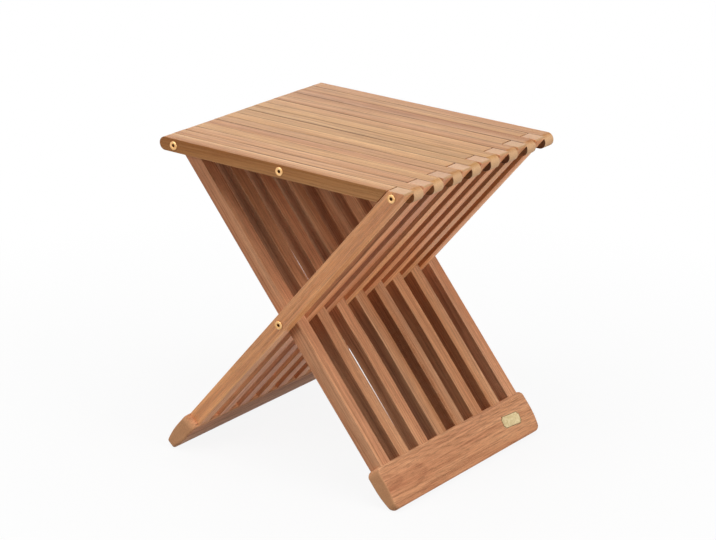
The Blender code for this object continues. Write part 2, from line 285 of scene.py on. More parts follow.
def closed_mesh(name, made):
    """The drawn faces as a mesh, all facing out."""
    bmesh.ops.recalc_face_normals(made, faces=made.faces)
    mesh = bpy.data.meshes.new(name)
    made.to_mesh(mesh)
    made.free()
    return mesh


def smoothed(mesh, crease):
    """Smooth shading, with sharp edges where the faces turn more than the crease."""
    mesh.shade_smooth()
    mesh.set_sharp_from_angle(angle=crease)
    return mesh


def plain_object(name, mesh):
    made = bpy.data.objects.new(name, mesh)
    bpy.context.scene.collection.objects.link(made)
    return made


def finished_mesh(held):
    """Plain mesh of an object as its modifiers leave it. The object is removed."""
    bpy.context.view_layer.update()
    graph = bpy.context.evaluated_depsgraph_get()
    mesh = bpy.data.meshes.new_from_object(
        held.evaluated_get(graph), preserve_all_data_layers=True, depsgraph=graph
    )
    mesh.name = held.name
    bpy.data.objects.remove(held)
    return mesh


def even_flats(name, held):
    """The object as a plain mesh, with even shading on its flats."""
    held.modifiers.new("flats", "WEIGHTED_NORMAL").keep_sharp = True
    return plain_object(name, finished_mesh(held))


# Meshes of boards


def sawn(name, outline, thick, ease=0.0):
    """Board with an outline in X and Z, its thickness along Y and its edges eased."""
    curve = bpy.data.curves.new(name, "CURVE")
    curve.dimensions = "2D"
    curve.fill_mode = "BOTH"
    curve.extrude = thick / 2 - ease
    curve.bevel_depth = ease
    curve.bevel_resolution = EASE_STEPS
    curve.offset = -ease
    spline = curve.splines.new("POLY")
    spline.points.add(len(outline) - 1)
    for point, (x, z) in zip(spline.points, outline):
        point.co = (x, z, 0, 1)
    spline.use_cyclic_u = True
    mesh = finished_mesh(plain_object(name, curve))
    mesh.transform(Matrix.Rotation(math.pi / 2, 4, "X"))
    joined = bmesh.new()
    joined.from_mesh(mesh)
    bmesh.ops.remove_doubles(joined, verts=joined.verts, dist=MERGE)
    bmesh.ops.recalc_face_normals(joined, faces=joined.faces)
    joined.to_mesh(mesh)
    joined.free()
    return mesh


def bore(x, z):
    """Cutter for a bore through a board."""
    made = bmesh.new()
    bmesh.ops.create_cone(
        made,
        cap_ends=True,
        segments=RING_STEPS,
        radius1=BORE_RADIUS,
        radius2=BORE_RADIUS,
        depth=2 * PITCH,
        matrix=Matrix.Translation((x, 0, z)) @ Matrix.Rotation(math.pi / 2, 4, "X"),
    )
    return closed_mesh("bore", made)


def drilled(name, mesh, bores, pocket=None):
    """The board with a bore at each (x, z), and a pocket where it has one."""
    held = plain_object(name, mesh)
    tools = [plain_object("bore", bore(x, z)) for x, z in bores]
    if pocket:
        tools.append(plain_object("pocket", pocket))
    for tool in tools:
        step = held.modifiers.new(tool.name, "BOOLEAN")
        step.operation = "DIFFERENCE"
        step.object = tool
    done = finished_mesh(held)
    for tool in tools:
        bpy.data.objects.remove(tool)
    return done


def grained(mesh, along, across, through):
    """Notes on each point where it lies along, across and through its board, for the grain."""
    grain = mesh.attributes.new("grain", "FLOAT_VECTOR", "POINT")
    for point, mark in zip(mesh.vertices, grain.data):
        mark.vector = (point.co[along], point.co[across], point.co[through])
    return smoothed(mesh, BOARD_CREASE)


def nose(side):
    """Half-round seat end."""
    overhang = HINGE_OVERHANG if side > 0 else HOOK_OVERHANG
    centre = (side * (HALF_SPAN + overhang - HALF_THICK), 0)
    start = -side * math.pi / 2
    return arc(centre, HALF_THICK, start, start + math.pi, NOSE_STEPS)


def pocket_mesh():
    """Room for a hook in the underside of a long slat."""
    ledge = BORE_RADIUS * math.sin(HOOK_OPENING)
    left = -HALF_LEG / math.sin(LEG_ANGLE) + ledge / math.tan(LEG_ANGLE) - POCKET_CLEAR
    right = (HALF_LEG + POCKET_SWING) / math.sin(LEG_ANGLE)
    roof = HOOK_HEIGHT + POCKET_CLEAR
    floor = -SEAT_THICK
    slope = 1 / math.tan(LEG_ANGLE)
    outline = [(right - floor * slope, floor), (right - roof * slope, roof)]
    outline += [(0, roof), (0, POCKET_CLEAR - ledge), (left, POCKET_CLEAR - ledge), (left, floor)]
    mesh = sawn("pocket", outline, 2 * PITCH)
    mesh.transform(Matrix.Translation((-HALF_SPAN, 0, 0)))
    return mesh


def short_slat():
    """Slat that ends in a slanted cut against a hinge leg."""
    seam = HALF_SPAN - (HALF_LEG + SEAM_GAP) / math.sin(LEG_ANGLE)
    slant = HALF_THICK / math.tan(LEG_ANGLE)
    outline = nose(-1) + [(seam - slant, -HALF_THICK), (seam + slant, HALF_THICK)]
    board = sawn("short_slat", outline, SLAT_WIDTH, EDGE_EASE)
    mesh = drilled("short_slat", board, [(-HALF_SPAN, 0), (0, 0)])
    grained(mesh, along=0, across=1, through=2)
    mesh.transform(Matrix.Translation(MIDDLE))
    return mesh


def long_slat():
    """Slat that ends in a nose between the hinge legs."""
    bores = [(-HALF_SPAN, 0), (0, 0), (HALF_SPAN, 0)]
    board = sawn("long_slat", nose(-1) + nose(1), SLAT_WIDTH, EDGE_EASE)
    mesh = drilled("long_slat", board, bores, pocket_mesh())
    grained(mesh, along=0, across=1, through=2)
    mesh.transform(Matrix.Translation(MIDDLE))
    return mesh


def cut_across(mesh):
    """The leg with edges across it at even steps, so that it can bow."""
    made = bmesh.new()
    made.from_mesh(mesh)
    for step in range(LEG_CUTS):
        place = (0, 0, -LEG_CUT * (step + FIRST_CUT))
        drawn = made.verts[:] + made.edges[:] + made.faces[:]
        bmesh.ops.bisect_plane(made, geom=drawn, dist=MERGE, plane_co=place, plane_no=(0, 0, 1))
    made.to_mesh(mesh)
    made.free()
    return mesh


def leg_end():
    tip = -UPPER_LEG - FOOT_TOP - LEG_IN_FOOT
    return [(-HALF_LEG, tip), (HALF_LEG, tip)]


def hinge_leg():
    """Leg with the top that lies level with the seat."""
    left_top = (HALF_THICK - HALF_LEG * math.sin(LEAN)) / math.cos(LEAN)
    right_top = (HALF_THICK + HALF_LEG * math.sin(LEAN)) / math.cos(LEAN)
    corners = [(-HALF_LEG, left_top, 0)]
    corners += [(x, z, 0) for x, z in leg_end()]
    corners.append((HALF_LEG, right_top, TIP_ROUND))
    board = sawn("hinge_leg", rounded(corners, TIP_STEPS), SLAT_WIDTH, EDGE_EASE)
    mesh = cut_across(drilled("hinge_leg", board, [(0, 0), (0, -UPPER_LEG)]))
    grained(mesh, along=2, across=1, through=0)
    mesh.transform(Matrix.Translation(HINGE) @ Matrix.Rotation(LEAN, 4, "Y"))
    return mesh


def hook_leg():
    """Leg with the open saddle that the seat's axle rests in."""
    ledge = BORE_RADIUS * math.sin(HOOK_OPENING)
    left_top = (HALF_LEG * math.sin(LEAN) - ledge) / math.cos(LEAN)
    right_top = (HOOK_HEIGHT - HALF_LEG * math.sin(LEAN)) / math.cos(LEAN)
    upright = Matrix.Rotation(-LEAN, 2)
    saddle = arc((0, 0), BORE_RADIUS, math.pi + HOOK_OPENING, 2 * math.pi, TIP_STEPS)
    saddle.append((BORE_RADIUS, HOOK_HEIGHT))
    top = [upright @ Vector(point) for point in reversed(saddle)]
    outline = [(HALF_LEG, right_top)] + top + [(-HALF_LEG, left_top)] + leg_end()
    board = sawn("hook_leg", outline, SLAT_WIDTH, EDGE_EASE)
    mesh = cut_across(drilled("hook_leg", board, [(0, -UPPER_LEG)]))
    grained(mesh, along=2, across=1, through=0)
    mesh.transform(Matrix.Translation(HOOK) @ Matrix.Rotation(-LEAN, 4, "Y"))
    return mesh


def foot_half(height):
    """Half of a foot's thickness at a height above its lower end."""
    left_over = max(0.0, 1 - height / FOOT_TAPER)
    return FOOT_THICK / 2 - (FOOT_THICK - FOOT_TOE) / 2 * left_over**2


def foot_section():
    """Outline across a foot, with sides that narrow in a curve to its lower end."""
    bottom = -FOOT_HEIGHT / 2
    heights = [FOOT_TAPER * step / TAPER_STEPS for step in range(1, TAPER_STEPS + 1)]
    wall = [(foot_half(height), bottom + height, 0) for height in heights]
    corners = [(-FOOT_TOE / 2, bottom, FOOT_EDGE), (FOOT_TOE / 2, bottom, FOOT_EDGE), *wall]
    corners += [(FOOT_THICK / 2, -bottom, FOOT_EDGE), (-FOOT_THICK / 2, -bottom, FOOT_EDGE)]
    corners += [(-x, z, 0) for x, z, _ in reversed(wall)]
    return rounded(corners, FOOT_STEPS)


def foot_stations():
    """Places along a foot, each with how much thinner and lower its rounded ends are there."""
    quarter = [math.pi / 2 * step / FOOT_STEPS for step in range(FOOT_STEPS + 1)]
    setbacks = {FOOT_CORNER * (1 - math.cos(a)) for a in quarter}
    setbacks |= {FOOT_EDGE * (1 - math.cos(a)) for a in quarter[1:]}
    stations = []
    for setback in sorted(setbacks):
        thinner = FOOT_EDGE - math.sqrt(FOOT_EDGE**2 - max(FOOT_EDGE - setback, 0) ** 2)
        lower = FOOT_CORNER - math.sqrt(FOOT_CORNER**2 - (FOOT_CORNER - setback) ** 2)
        stations.append((setback - FOOT_LENGTH / 2, thinner, lower))
    return stations + [(-y, thinner, lower) for y, thinner, lower in reversed(stations)]


def foot_bar(name, side):
    """Foot with rounded ends, flat where it stands on the floor."""
    section = foot_section()
    made = bmesh.new()
    loops = []
    for y, thinner, lower in foot_stations():
        across = 1 - thinner / (FOOT_THICK / 2)
        up = 1 - lower / (FOOT_HEIGHT / 2)
        loops.append([made.verts.new((x * across, y, z * up)) for x, z in section])
    skinned(made, loops)
    mesh = grained(closed_mesh(name, made), along=1, across=2, through=0)
    down = Vector((side * math.cos(LEG_ANGLE), 0, -math.sin(LEG_ANGLE)))
    middle = CROSS + down * (FOOT_TOP + FOOT_HEIGHT / 2) + Vector((0, side * PITCH / 2, 0))
    mesh.transform(Matrix.Translation(middle) @ Matrix.Rotation(-side * LEAN, 4, "Y"))
    for point in mesh.vertices:
        point.co.z = max(point.co.z, 0.0)
    return mesh


# Meshes of brass


def eyelet():
    """Rolled ring with its spigot, facing the front, with the board's face at its origin."""
    low = RING_THICK - RING_LIP
    flat = RING_RIM - RING_ROLL
    profile = [(RING_HOLE, -SPIGOT_LENGTH), (RING_HOLE, low)]
    for step in range(1, LIP_STEPS + 1):
        turn = step / LIP_STEPS * math.pi / 2
        profile.append((RING_HOLE + RING_LIP * (1 - math.cos(turn)), low + RING_LIP * math.sin(turn)))
    for step in range(ROLL_STEPS + 1):
        turn = step / ROLL_STEPS * math.pi / 2
        profile.append((flat + RING_ROLL * math.sin(turn), low + RING_LIP * math.cos(turn)))
    profile += [(RING_RIM, 0), (RING_SPIGOT, 0), (RING_SPIGOT, -SPIGOT_LENGTH)]
    made = bmesh.new()
    rows = []
    for step in range(RING_STEPS):
        turn = 2 * math.pi * step / RING_STEPS
        rows.append([made.verts.new((r * math.cos(turn), -h, r * math.sin(turn))) for r, h in profile])
    skinned(made, rows[-1:] + rows, capped=False)
    return smoothed(closed_mesh("eyelet", made), RING_CREASE)


def plate_outline(inset):
    """Rectangle with a hollow quarter-round at each corner."""
    long, high = PLATE_LENGTH / 2 - inset, PLATE_HEIGHT / 2 - inset
    points = []
    for right, up, start in ((1, 1, 270), (-1, 1, 0), (-1, -1, 90), (1, -1, 180)):
        centre = (right * long, up * high)
        points += arc(centre, PLATE_NOTCH, math.radians(start), math.radians(start - 90), NOTCH_STEPS)
    return points


def plate_place():
    """Turn and place of the plate on the wide face of the right foot."""
    down = Vector((math.cos(LEG_ANGLE), 0, -math.sin(LEG_ANGLE)))
    out = Vector((math.sin(LEG_ANGLE), 0, math.cos(LEG_ANGLE)))
    height = FOOT_HEIGHT - PLATE_DROP
    slope = (foot_half(height + SLOPE_STEP) - foot_half(height - SLOPE_STEP)) / (2 * SLOPE_STEP)
    face_down = (down - out * slope).normalized()
    face_out = (out + down * slope).normalized()
    along = Vector((0, 1, 0)) * math.cos(PLATE_TILT) + face_down * math.sin(PLATE_TILT)
    up = face_out.cross(along)
    at = CROSS + down * (FOOT_TOP + PLATE_DROP) + out * (foot_half(height) - PLATE_THICK / 2)
    at.y = PLATE_ALONG
    return Matrix.Translation(at) @ Matrix((along, up, face_out)).transposed().to_4x4()


def bare_plate():
    """Small plate with a raised rim. All of it but the field inside the rim is noted to be darker."""
    made = bmesh.new()
    loops = []
    for inset, height in (
        (0, 0),
        (0, PLATE_THICK - PLATE_SOFT),
        (PLATE_SOFT, PLATE_THICK),
        (PLATE_RIM - PLATE_SOFT, PLATE_THICK),
        (PLATE_RIM, PLATE_THICK - PLATE_SOFT),
        (PLATE_RIM + PLATE_SOFT, PLATE_THICK - PLATE_FIELD),
    ):
        loops.append([made.verts.new((x, y, height)) for x, y in plate_outline(inset)])
    skinned(made, loops)
    bmesh.ops.triangulate(made, faces=[face for face in made.faces if len(face.verts) > 4])
    mesh = smoothed(closed_mesh("foot_plate", made), PLATE_CREASE)
    field = len(loops[-1])
    rim = len(mesh.vertices) - field
    tarnish = mesh.attributes.new("tarnish", "FLOAT", "POINT")
    tarnish.data.foreach_set("value", [1.0] * rim + [0.0] * field)
    mesh.transform(plate_place())
    return mesh


# Node trees that repeat boards and rings


def node(tree, kind, settings=None, **links):
    """A node with its settings, and its inputs set to values or joined to other sockets.

    An input goes by its name, or by its number as i0, i1 and so on.
    """
    made = tree.nodes.new(kind)
    for name, value in (settings or {}).items():
        setattr(made, name, value)
    for name, value in links.items():
        numbered = name[0] == "i" and name[1:].isdigit()
        at = made.inputs[int(name[1:]) if numbered else name]
        if isinstance(value, bpy.types.NodeSocket):
            tree.links.new(value, at)
        else:
            at.default_value = value
    return made


def calc(tree, operation, first, second=0.0, third=0.0):
    made = node(tree, "ShaderNodeMath", {"operation": operation}, i0=first, i1=second, i2=third)
    return made.outputs[0]


def vectors(tree, operation, first, second=(0, 0, 0), third=(0, 0, 0), output="Vector"):
    made = node(tree, "ShaderNodeVectorMath", {"operation": operation}, i0=first, i1=second, i2=third)
    return made.outputs[output]


def parts(tree, vector):
    return node(tree, "ShaderNodeSeparateXYZ", {}, Vector=vector).outputs


def node_group(name, inputs):
    """A tree for geometry with its named inputs, and the sockets that give them."""
    tree = bpy.data.node_groups.new(name, "GeometryNodeTree")
    for label, kind in inputs.items():
        tree.interface.new_socket(label, in_out="INPUT", socket_type="NodeSocket" + kind)
    tree.interface.new_socket("Geometry", in_out="OUTPUT", socket_type="NodeSocketGeometry")
    return tree, tree.nodes.new("NodeGroupInput").outputs


def give_out(tree, geometry, finish):
    """The tree's result, with its finish."""
    skin = node(tree, "GeometryNodeSetMaterial", {}, Geometry=geometry, Material=finish)
    end = tree.nodes.new("NodeGroupOutput")
    tree.links.new(skin.outputs[0], end.inputs[0])


def swell(tree, value, place, reach, power):
    """1 at a place, and less on both sides of it. A higher power gives a flatter top."""
    far = calc(tree, "DIVIDE", calc(tree, "SUBTRACT", value, place), reach)
    return calc(tree, "EXPONENT", calc(tree, "MULTIPLY", calc(tree, "POWER", far, power), -1.0))


def stored(tree, name, kind):
    return node(tree, "GeometryNodeInputNamedAttribute", {"data_type": kind}, Name=name).outputs[0]


def bow_aside(tree, bow):
    """How far each point of a leg moves aside: away from one column, and less with each column."""
    away = calc(tree, "SUBTRACT", stored(tree, "column", "FLOAT"), BOW_COLUMN)
    further = calc(tree, "SUBTRACT", calc(tree, "ABSOLUTE", away), 1.0)
    slack = calc(tree, "MULTIPLY", further, BOW_SLACK)
    way = calc(tree, "SIGN", away)
    most = calc(tree, "MULTIPLY", bow, calc(tree, "MULTIPLY_ADD", way, BOW_BACK, 1.0))
    left = calc(tree, "MAXIMUM", calc(tree, "SUBTRACT", most, slack), 0.0)
    amount = calc(tree, "MULTIPLY", left, way)
    along = parts(tree, stored(tree, "grain", "FLOAT_VECTOR"))[0]
    free = calc(tree, "SUBTRACT", 1.0, swell(tree, along, PINCH_PLACE, PINCH_REACH, PINCH_POWER))
    share = calc(tree, "MULTIPLY", swell(tree, along, BOW_PLACE, BOW_REACH, BOW_POWER), free)
    return node(tree, "ShaderNodeCombineXYZ", {}, Y=calc(tree, "MULTIPLY", amount, share)).outputs[0]


def board_row_tree():
    """Boards side by side, two kinds in turn, each with its own number for the grain.

    Each lies a little unevenly. Legs bow a little, and lie close again where they are held at the crossing.
    """
    tree, given = node_group(
        "board_row",
        {
            "Odd board": "Object",
            "Even board": "Object",
            "Boards": "Int",
            "First": "Vector",
            "Step": "Vector",
            "Uneven": "Vector",
            "Seed": "Int",
            "First column": "Float",
            "Bow": "Float",
            "Wood": "Material",
        },
    )
    index = node(tree, "GeometryNodeInputIndex").outputs[0]
    line = node(
        tree,
        "GeometryNodeMeshLine",
        {"mode": "OFFSET"},
        **{"Count": given["Boards"], "Start Location": given["First"], "Offset": given["Step"]},
    ).outputs[0]
    number = node(tree, "FunctionNodeRandomValue", {"data_type": "FLOAT"}, Seed=given["Seed"])
    # Legs of one kind lie in every second column.
    column = calc(tree, "MULTIPLY_ADD", index, 2.0, given["First column"])
    for name, value in (("board", number.outputs["Value"]), ("column", column)):
        line = node(
            tree,
            "GeometryNodeStoreNamedAttribute",
            {"data_type": "FLOAT", "domain": "POINT"},
            Geometry=line,
            Name=name,
            Value=value,
        ).outputs[0]
    turn = calc(tree, "MODULO", index, 2.0)
    both = node(tree, "GeometryNodeJoinGeometry")
    for name, wanted in (("Odd board", 0.0), ("Even board", 1.0)):
        board = node(tree, "GeometryNodeObjectInfo", {}, Object=given[name]).outputs["Geometry"]
        chosen = calc(tree, "COMPARE", turn, wanted, 0.5)
        placed = node(
            tree, "GeometryNodeInstanceOnPoints", {}, Points=line, Selection=chosen, Instance=board
        )
        tree.links.new(placed.outputs[0], both.inputs[0])
    # The vector sockets come first in a node that offers several kinds of number.
    shift = node(
        tree,
        "FunctionNodeRandomValue",
        {"data_type": "FLOAT_VECTOR"},
        i0=(-1, -1, -1),
        i1=(1, 1, 1),
        Seed=given["Seed"],
    )
    little = vectors(tree, "MULTIPLY", shift.outputs[0], given["Uneven"])
    moved = node(
        tree, "GeometryNodeTranslateInstances", {}, Instances=both.outputs[0], Translation=little
    )
    real = node(tree, "GeometryNodeRealizeInstances", {}, Geometry=moved.outputs[0])
    aside = bow_aside(tree, given["Bow"])
    bowed = node(tree, "GeometryNodeSetPosition", {}, Geometry=real.outputs[0], Offset=aside)
    give_out(tree, bowed.outputs[0], given["Wood"])
    return tree


def axle_rings_tree():
    """A ring on the front and the back end of two axles."""
    tree, given = node_group(
        "axle_rings",
        {
            "Ring": "Object",
            "First axle": "Vector",
            "Second axle": "Vector",
            "Front end": "Vector",
            "Back end": "Vector",
            "Brass": "Material",
        },
    )
    ring = node(tree, "GeometryNodeObjectInfo", {}, Object=given["Ring"]).outputs["Geometry"]
    pair = node(tree, "GeometryNodeJoinGeometry")
    for name, turn in (("Front end", 0.0), ("Back end", math.pi)):
        placed = node(
            tree,
            "GeometryNodeTransform",
            {},
            Geometry=ring,
            Translation=given[name],
            Rotation=(0, 0, turn),
        )
        tree.links.new(placed.outputs[0], pair.inputs[0])
    axles = node(
        tree,
        "GeometryNodeMeshLine",
        {"mode": "END_POINTS"},
        **{"Count": 2, "Start Location": given["First axle"], "Offset": given["Second axle"]},
    )
    placed = node(
        tree, "GeometryNodeInstanceOnPoints", {}, Points=axles.outputs[0], Instance=pair.outputs[0]
    )
    real = node(tree, "GeometryNodeRealizeInstances", {}, Geometry=placed.outputs[0])
    give_out(tree, real.outputs[0], given["Brass"])
    return tree


def repeated(name, tree, **values):
    """A piece made by a node tree, as a plain mesh with even shading on its flats."""
    held = plain_object(name, bpy.data.meshes.new(name))
    step = held.modifiers.new(tree.name, "NODES")
    step.node_group = tree
    for item in tree.interface.items_tree:
        wanted = item.name.lower().replace(" ", "_")
        if item.in_out == "INPUT" and wanted in values:
            step[item.identifier] = values[wanted]
    return even_flats(name, held)


# Finishes


def ramp(tree, factor, stops):
    """A colour for each factor, between the colours at the stops."""
    made = node(tree, "ShaderNodeValToRGB", {}, Fac=factor)
    band = made.color_ramp
    while len(band.elements) < len(stops):
        band.elements.new(0.5)
    for element, (place, colour) in zip(band.elements, stops):
        element.position = place
        element.color = colour
    return made.outputs["Color"]


def grey(value):
    return (value, value, value, 1)


def blend(tree, factor, first, second, how="MIX"):
    # The colour sockets of this node have the numbers 6 and 7, and its colour output the number 2.
    settings = {"data_type": "RGBA", "blend_type": how}
    return node(tree, "ShaderNodeMix", settings, i0=factor, i6=first, i7=second).outputs[2]


def noise(tree, place, stretch, detail=2.0, roughness=0.5, output=0):
    at = vectors(tree, "MULTIPLY", place, stretch)
    made = node(tree, "ShaderNodeTexNoise", {}, Vector=at, Scale=1.0, Detail=detail, Roughness=roughness)
    return made.outputs[output]


def spread(tree, value, low, high, start=0.0, end=1.0):
    """The value carried from the range of start and end to the range of low and high."""
    ranges = {"From Min": start, "From Max": end, "To Min": low, "To Max": high}
    return node(tree, "ShaderNodeMapRange", {}, Value=value, **ranges).outputs[0]


def noted(tree, name, output):
    """What the points of the mesh have noted under a name."""
    return node(tree, "ShaderNodeAttribute", {"attribute_name": name}).outputs[output]


def new_finish(name):
    """A material with its node tree and its shader."""
    skin = bpy.data.materials.new(name)
    skin.use_nodes = True
    return skin, skin.node_tree, skin.node_tree.nodes["Principled BSDF"]


def about_pith(tree, grain, wander):
    """Places in a board as seen from a pith that runs beside it at a slant."""
    x, y, z = parts(tree, vectors(tree, "MULTIPLY_ADD", wander, PITH_SWAY, grain))
    lean = calc(tree, "MULTIPLY", x, PITH_LEAN)
    across = calc(tree, "ADD", y, calc(tree, "ADD", lean, PITH_ACROSS))
    through = calc(tree, "ADD", z, calc(tree, "MULTIPLY_ADD", lean, PITH_SHARE, PITH_THROUGH))
    return node(tree, "ShaderNodeCombineXYZ", {}, X=x, Y=across, Z=through).outputs[0]


def growth_colour(tree, body, layers, streak, line, figure):
    """The body with darker late wood in its growth layers."""
    growth = node(
        tree,
        "ShaderNodeTexWave",
        {"wave_type": "RINGS", "rings_direction": "X", "wave_profile": "SAW"},
        Vector=layers,
        Scale=GROWTH,
    ).outputs["Fac"]
    late = ramp(tree, growth, [(0.0, grey(0.1)), (0.35, grey(0)), (0.86, grey(1)), (1.0, grey(0.1))])
    late = calc(tree, "MULTIPLY", late, spread(tree, streak, 0.7 * figure, 0.1 * figure, 0.3, 0.7))
    return blend(tree, late, body, line)


def streak_colour(tree, body, streak, line, pale, figure):
    """The body with dark and pale streaks."""
    shade = ramp(tree, streak, [(0.30, grey(1)), (0.50, grey(0))])
    body = blend(tree, calc(tree, "MULTIPLY", shade, STREAK_SHARE * figure), body, line)
    light = ramp(tree, streak, [(0.52, grey(0)), (0.72, grey(1))])
    return blend(tree, calc(tree, "MULTIPLY", light, STREAK_SHARE * figure), body, pale)


def board_tone(tree, body, own, across, half_width):
    """The body in each board's own tone, darker and warmer towards one side of the board."""
    hue, value, side = node(tree, "ShaderNodeSeparateColor", {}, Color=own).outputs
    heart = calc(tree, "MULTIPLY", across, spread(tree, side, -1.0, 1.0))
    ends = (-half_width, half_width)
    hue = calc(tree, "ADD", spread(tree, hue, 0.493, 0.506), spread(tree, heart, -0.006, 0.003, *ends))
    value = calc(tree, "MULTIPLY", spread(tree, value, 0.86, 1.10), spread(tree, heart, 0.88, 1.12, *ends))
    return node(
        tree,
        "ShaderNodeHueSaturation",
        {},
        Hue=hue,
        Saturation=spread(tree, heart, 1.12, 0.94, *ends),
        Value=value,
        Color=body,
    ).outputs[0]


def end_colour(tree, body, place, facing, length_axis, end):
    """The body with dotted end grain on the faces that look along the board."""
    turned = vectors(tree, "DOT_PRODUCT", facing, length_axis, output="Value")
    cut = ramp(tree, calc(tree, "ABSOLUTE", turned), [(0.40, grey(0)), (0.85, grey(1))])
    dots = ramp(tree, noise(tree, place, END_DOT), [(0.35, grey(0.78)), (0.62, grey(1.06))])
    ends = blend(tree, 1.0, end, dots, "MULTIPLY")
    return blend(tree, calc(tree, "MULTIPLY", cut, END_SHARE), body, ends)


def near_edge(tree, distance, half):
    """1 at the edge of a board, and 0 away from it."""
    reach = calc(tree, "DIVIDE", calc(tree, "ABSOLUTE", distance), half)
    return spread(tree, reach, 0.0, 1.0, 0.90, 0.97)


def seam_share(tree, place, in_stool, seam, seam_reach):
    """How dark the tint on a board's sides is: painted shade in patches in the seams, and an even darkening
    on the outer sides.
    """
    patches = spread(tree, noise(tree, place, SEAM_PATCH), SEAM_LEAST * seam, seam, 0.38, 0.58)
    within = calc(tree, "LESS_THAN", calc(tree, "ABSOLUTE", parts(tree, in_stool)[1]), seam_reach)
    return calc(tree, "MULTIPLY_ADD", calc(tree, "SUBTRACT", patches, SIDE_DARKENING), within, SIDE_DARKENING)


def teak(
    name,
    length_axis,
    half_size,
    colours,
    figure,
    seam,
    gloss,
    stroke=STROKE,
    pith=False,
    seam_reach=1.0,
):
    """Bare teak, with a grain that runs along each board and differs from board to board."""
    pale, ground, dark, line, end = colours
    skin, tree, shader = new_finish(name)
    grain = noted(tree, "grain", "Vector")
    _, across, through = parts(tree, grain)
    board = noted(tree, "board", "Fac")
    own = node(tree, "ShaderNodeTexWhiteNoise", {"noise_dimensions": "1D"}, W=board).outputs["Color"]
    place = vectors(tree, "ADD", grain, vectors(tree, "MULTIPLY", own, BOARD_JUMP))
    wander = noise(tree, place, WANDER, 1.0, output="Color")
    swayed = vectors(tree, "MULTIPLY_ADD", wander, SWAY, place)
    drift = noise(tree, place, DRIFT)
    streak = noise(tree, swayed, STREAK, 3.0, 0.6)
    fine = noise(tree, swayed, stroke, 2.0, 0.6)
    pore = noise(tree, swayed, PORE, 1.0)
    layers = about_pith(tree, grain, wander) if pith else swayed

    body = ramp(tree, drift, [(0.25, dark), (0.50, ground), (0.75, pale)])
    body = growth_colour(tree, body, layers, streak, line, figure)
    body = streak_colour(tree, body, streak, line, pale, figure)
    strokes = ramp(tree, fine, [(0.30, grey(0.60)), (0.48, grey(1.0)), (0.75, grey(1.10))])
    body = blend(tree, STROKE_SHARE, body, strokes, "MULTIPLY")
    pits = ramp(tree, pore, [(0.58, grey(1.0)), (0.68, grey(0.66))])
    body = blend(tree, PORE_SHARE, body, pits, "MULTIPLY")
    body = board_tone(tree, body, own, across, half_size[0])

    stool = node(tree, "ShaderNodeTexCoord").outputs
    body = end_colour(tree, body, place, stool["Normal"], length_axis, end)
    side = near_edge(tree, across, half_size[0])
    corner = calc(tree, "MULTIPLY", side, near_edge(tree, through, half_size[1]))
    rubbed = calc(tree, "MULTIPLY", corner, drift)
    body = blend(tree, calc(tree, "MULTIPLY", rubbed, RUB_SHARE), body, pale)
    # Painted shade: a dark tint on each board's sides, in patches in the seams between boards, and even on
    # the seat's outer sides
    seam_shade_and_dull_film = seam_share(tree, place, stool["Object"], seam, seam_reach)
    body = blend(tree, calc(tree, "MULTIPLY", side, seam_shade_and_dull_film), body, SEAM_TINT)
    tree.links.new(body, shader.inputs["Base Color"])

    tree.links.new(spread(tree, streak, 0.66, 0.50), shader.inputs["Roughness"])
    shader.inputs["Specular IOR Level"].default_value = gloss
    depth = calc(tree, "MULTIPLY", fine, STROKE_DEPTH)
    depth = calc(tree, "ADD", depth, calc(tree, "MULTIPLY", pits, PORE_DEPTH))
    depth = calc(tree, "ADD", depth, calc(tree, "MULTIPLY", streak, STREAK_DEPTH))
    bump = node(tree, "ShaderNodeBump", {}, Strength=0.35, Distance=0.0003, Height=depth)
    tree.links.new(bump.outputs[0], shader.inputs["Normal"])
    return skin


def turned_brass(name, bright, dull):
    """Brass with a soft shine, faint turning marks, a duller film in patches, and a darker colour where
    noted.
    """
    skin, tree, shader = new_finish(name)
    place = node(tree, "ShaderNodeTexCoord").outputs["Object"]
    seam_shade_and_dull_film = noise(tree, place, FILM, 3.0, 0.6)
    marks = noise(tree, place, TURNING, 2.0, 0.6)
    colour = ramp(tree, seam_shade_and_dull_film, [(0.35, dull), (0.62, bright)])
    tarnish = noted(tree, "tarnish", "Fac")
    # Darker colour on the plate's rim and sides, all round the field
    dark = calc(tree, "MULTIPLY", tarnish, spread(tree, seam_shade_and_dull_film, 0.9, 0.5, 0.35, 0.65))
    colour = blend(tree, dark, colour, DARK_RIM_TINT)
    tree.links.new(colour, shader.inputs["Base Color"])
    tree.links.new(spread(tree, seam_shade_and_dull_film, 0.52, 0.34), shader.inputs["Roughness"])
    shader.inputs["Metallic"].default_value = 1.0
    bump = node(tree, "ShaderNodeBump", {}, Strength=0.12, Distance=0.0001, Height=marks)
    tree.links.new(bump.outputs[0], shader.inputs["Normal"])
    return skin


# The stool

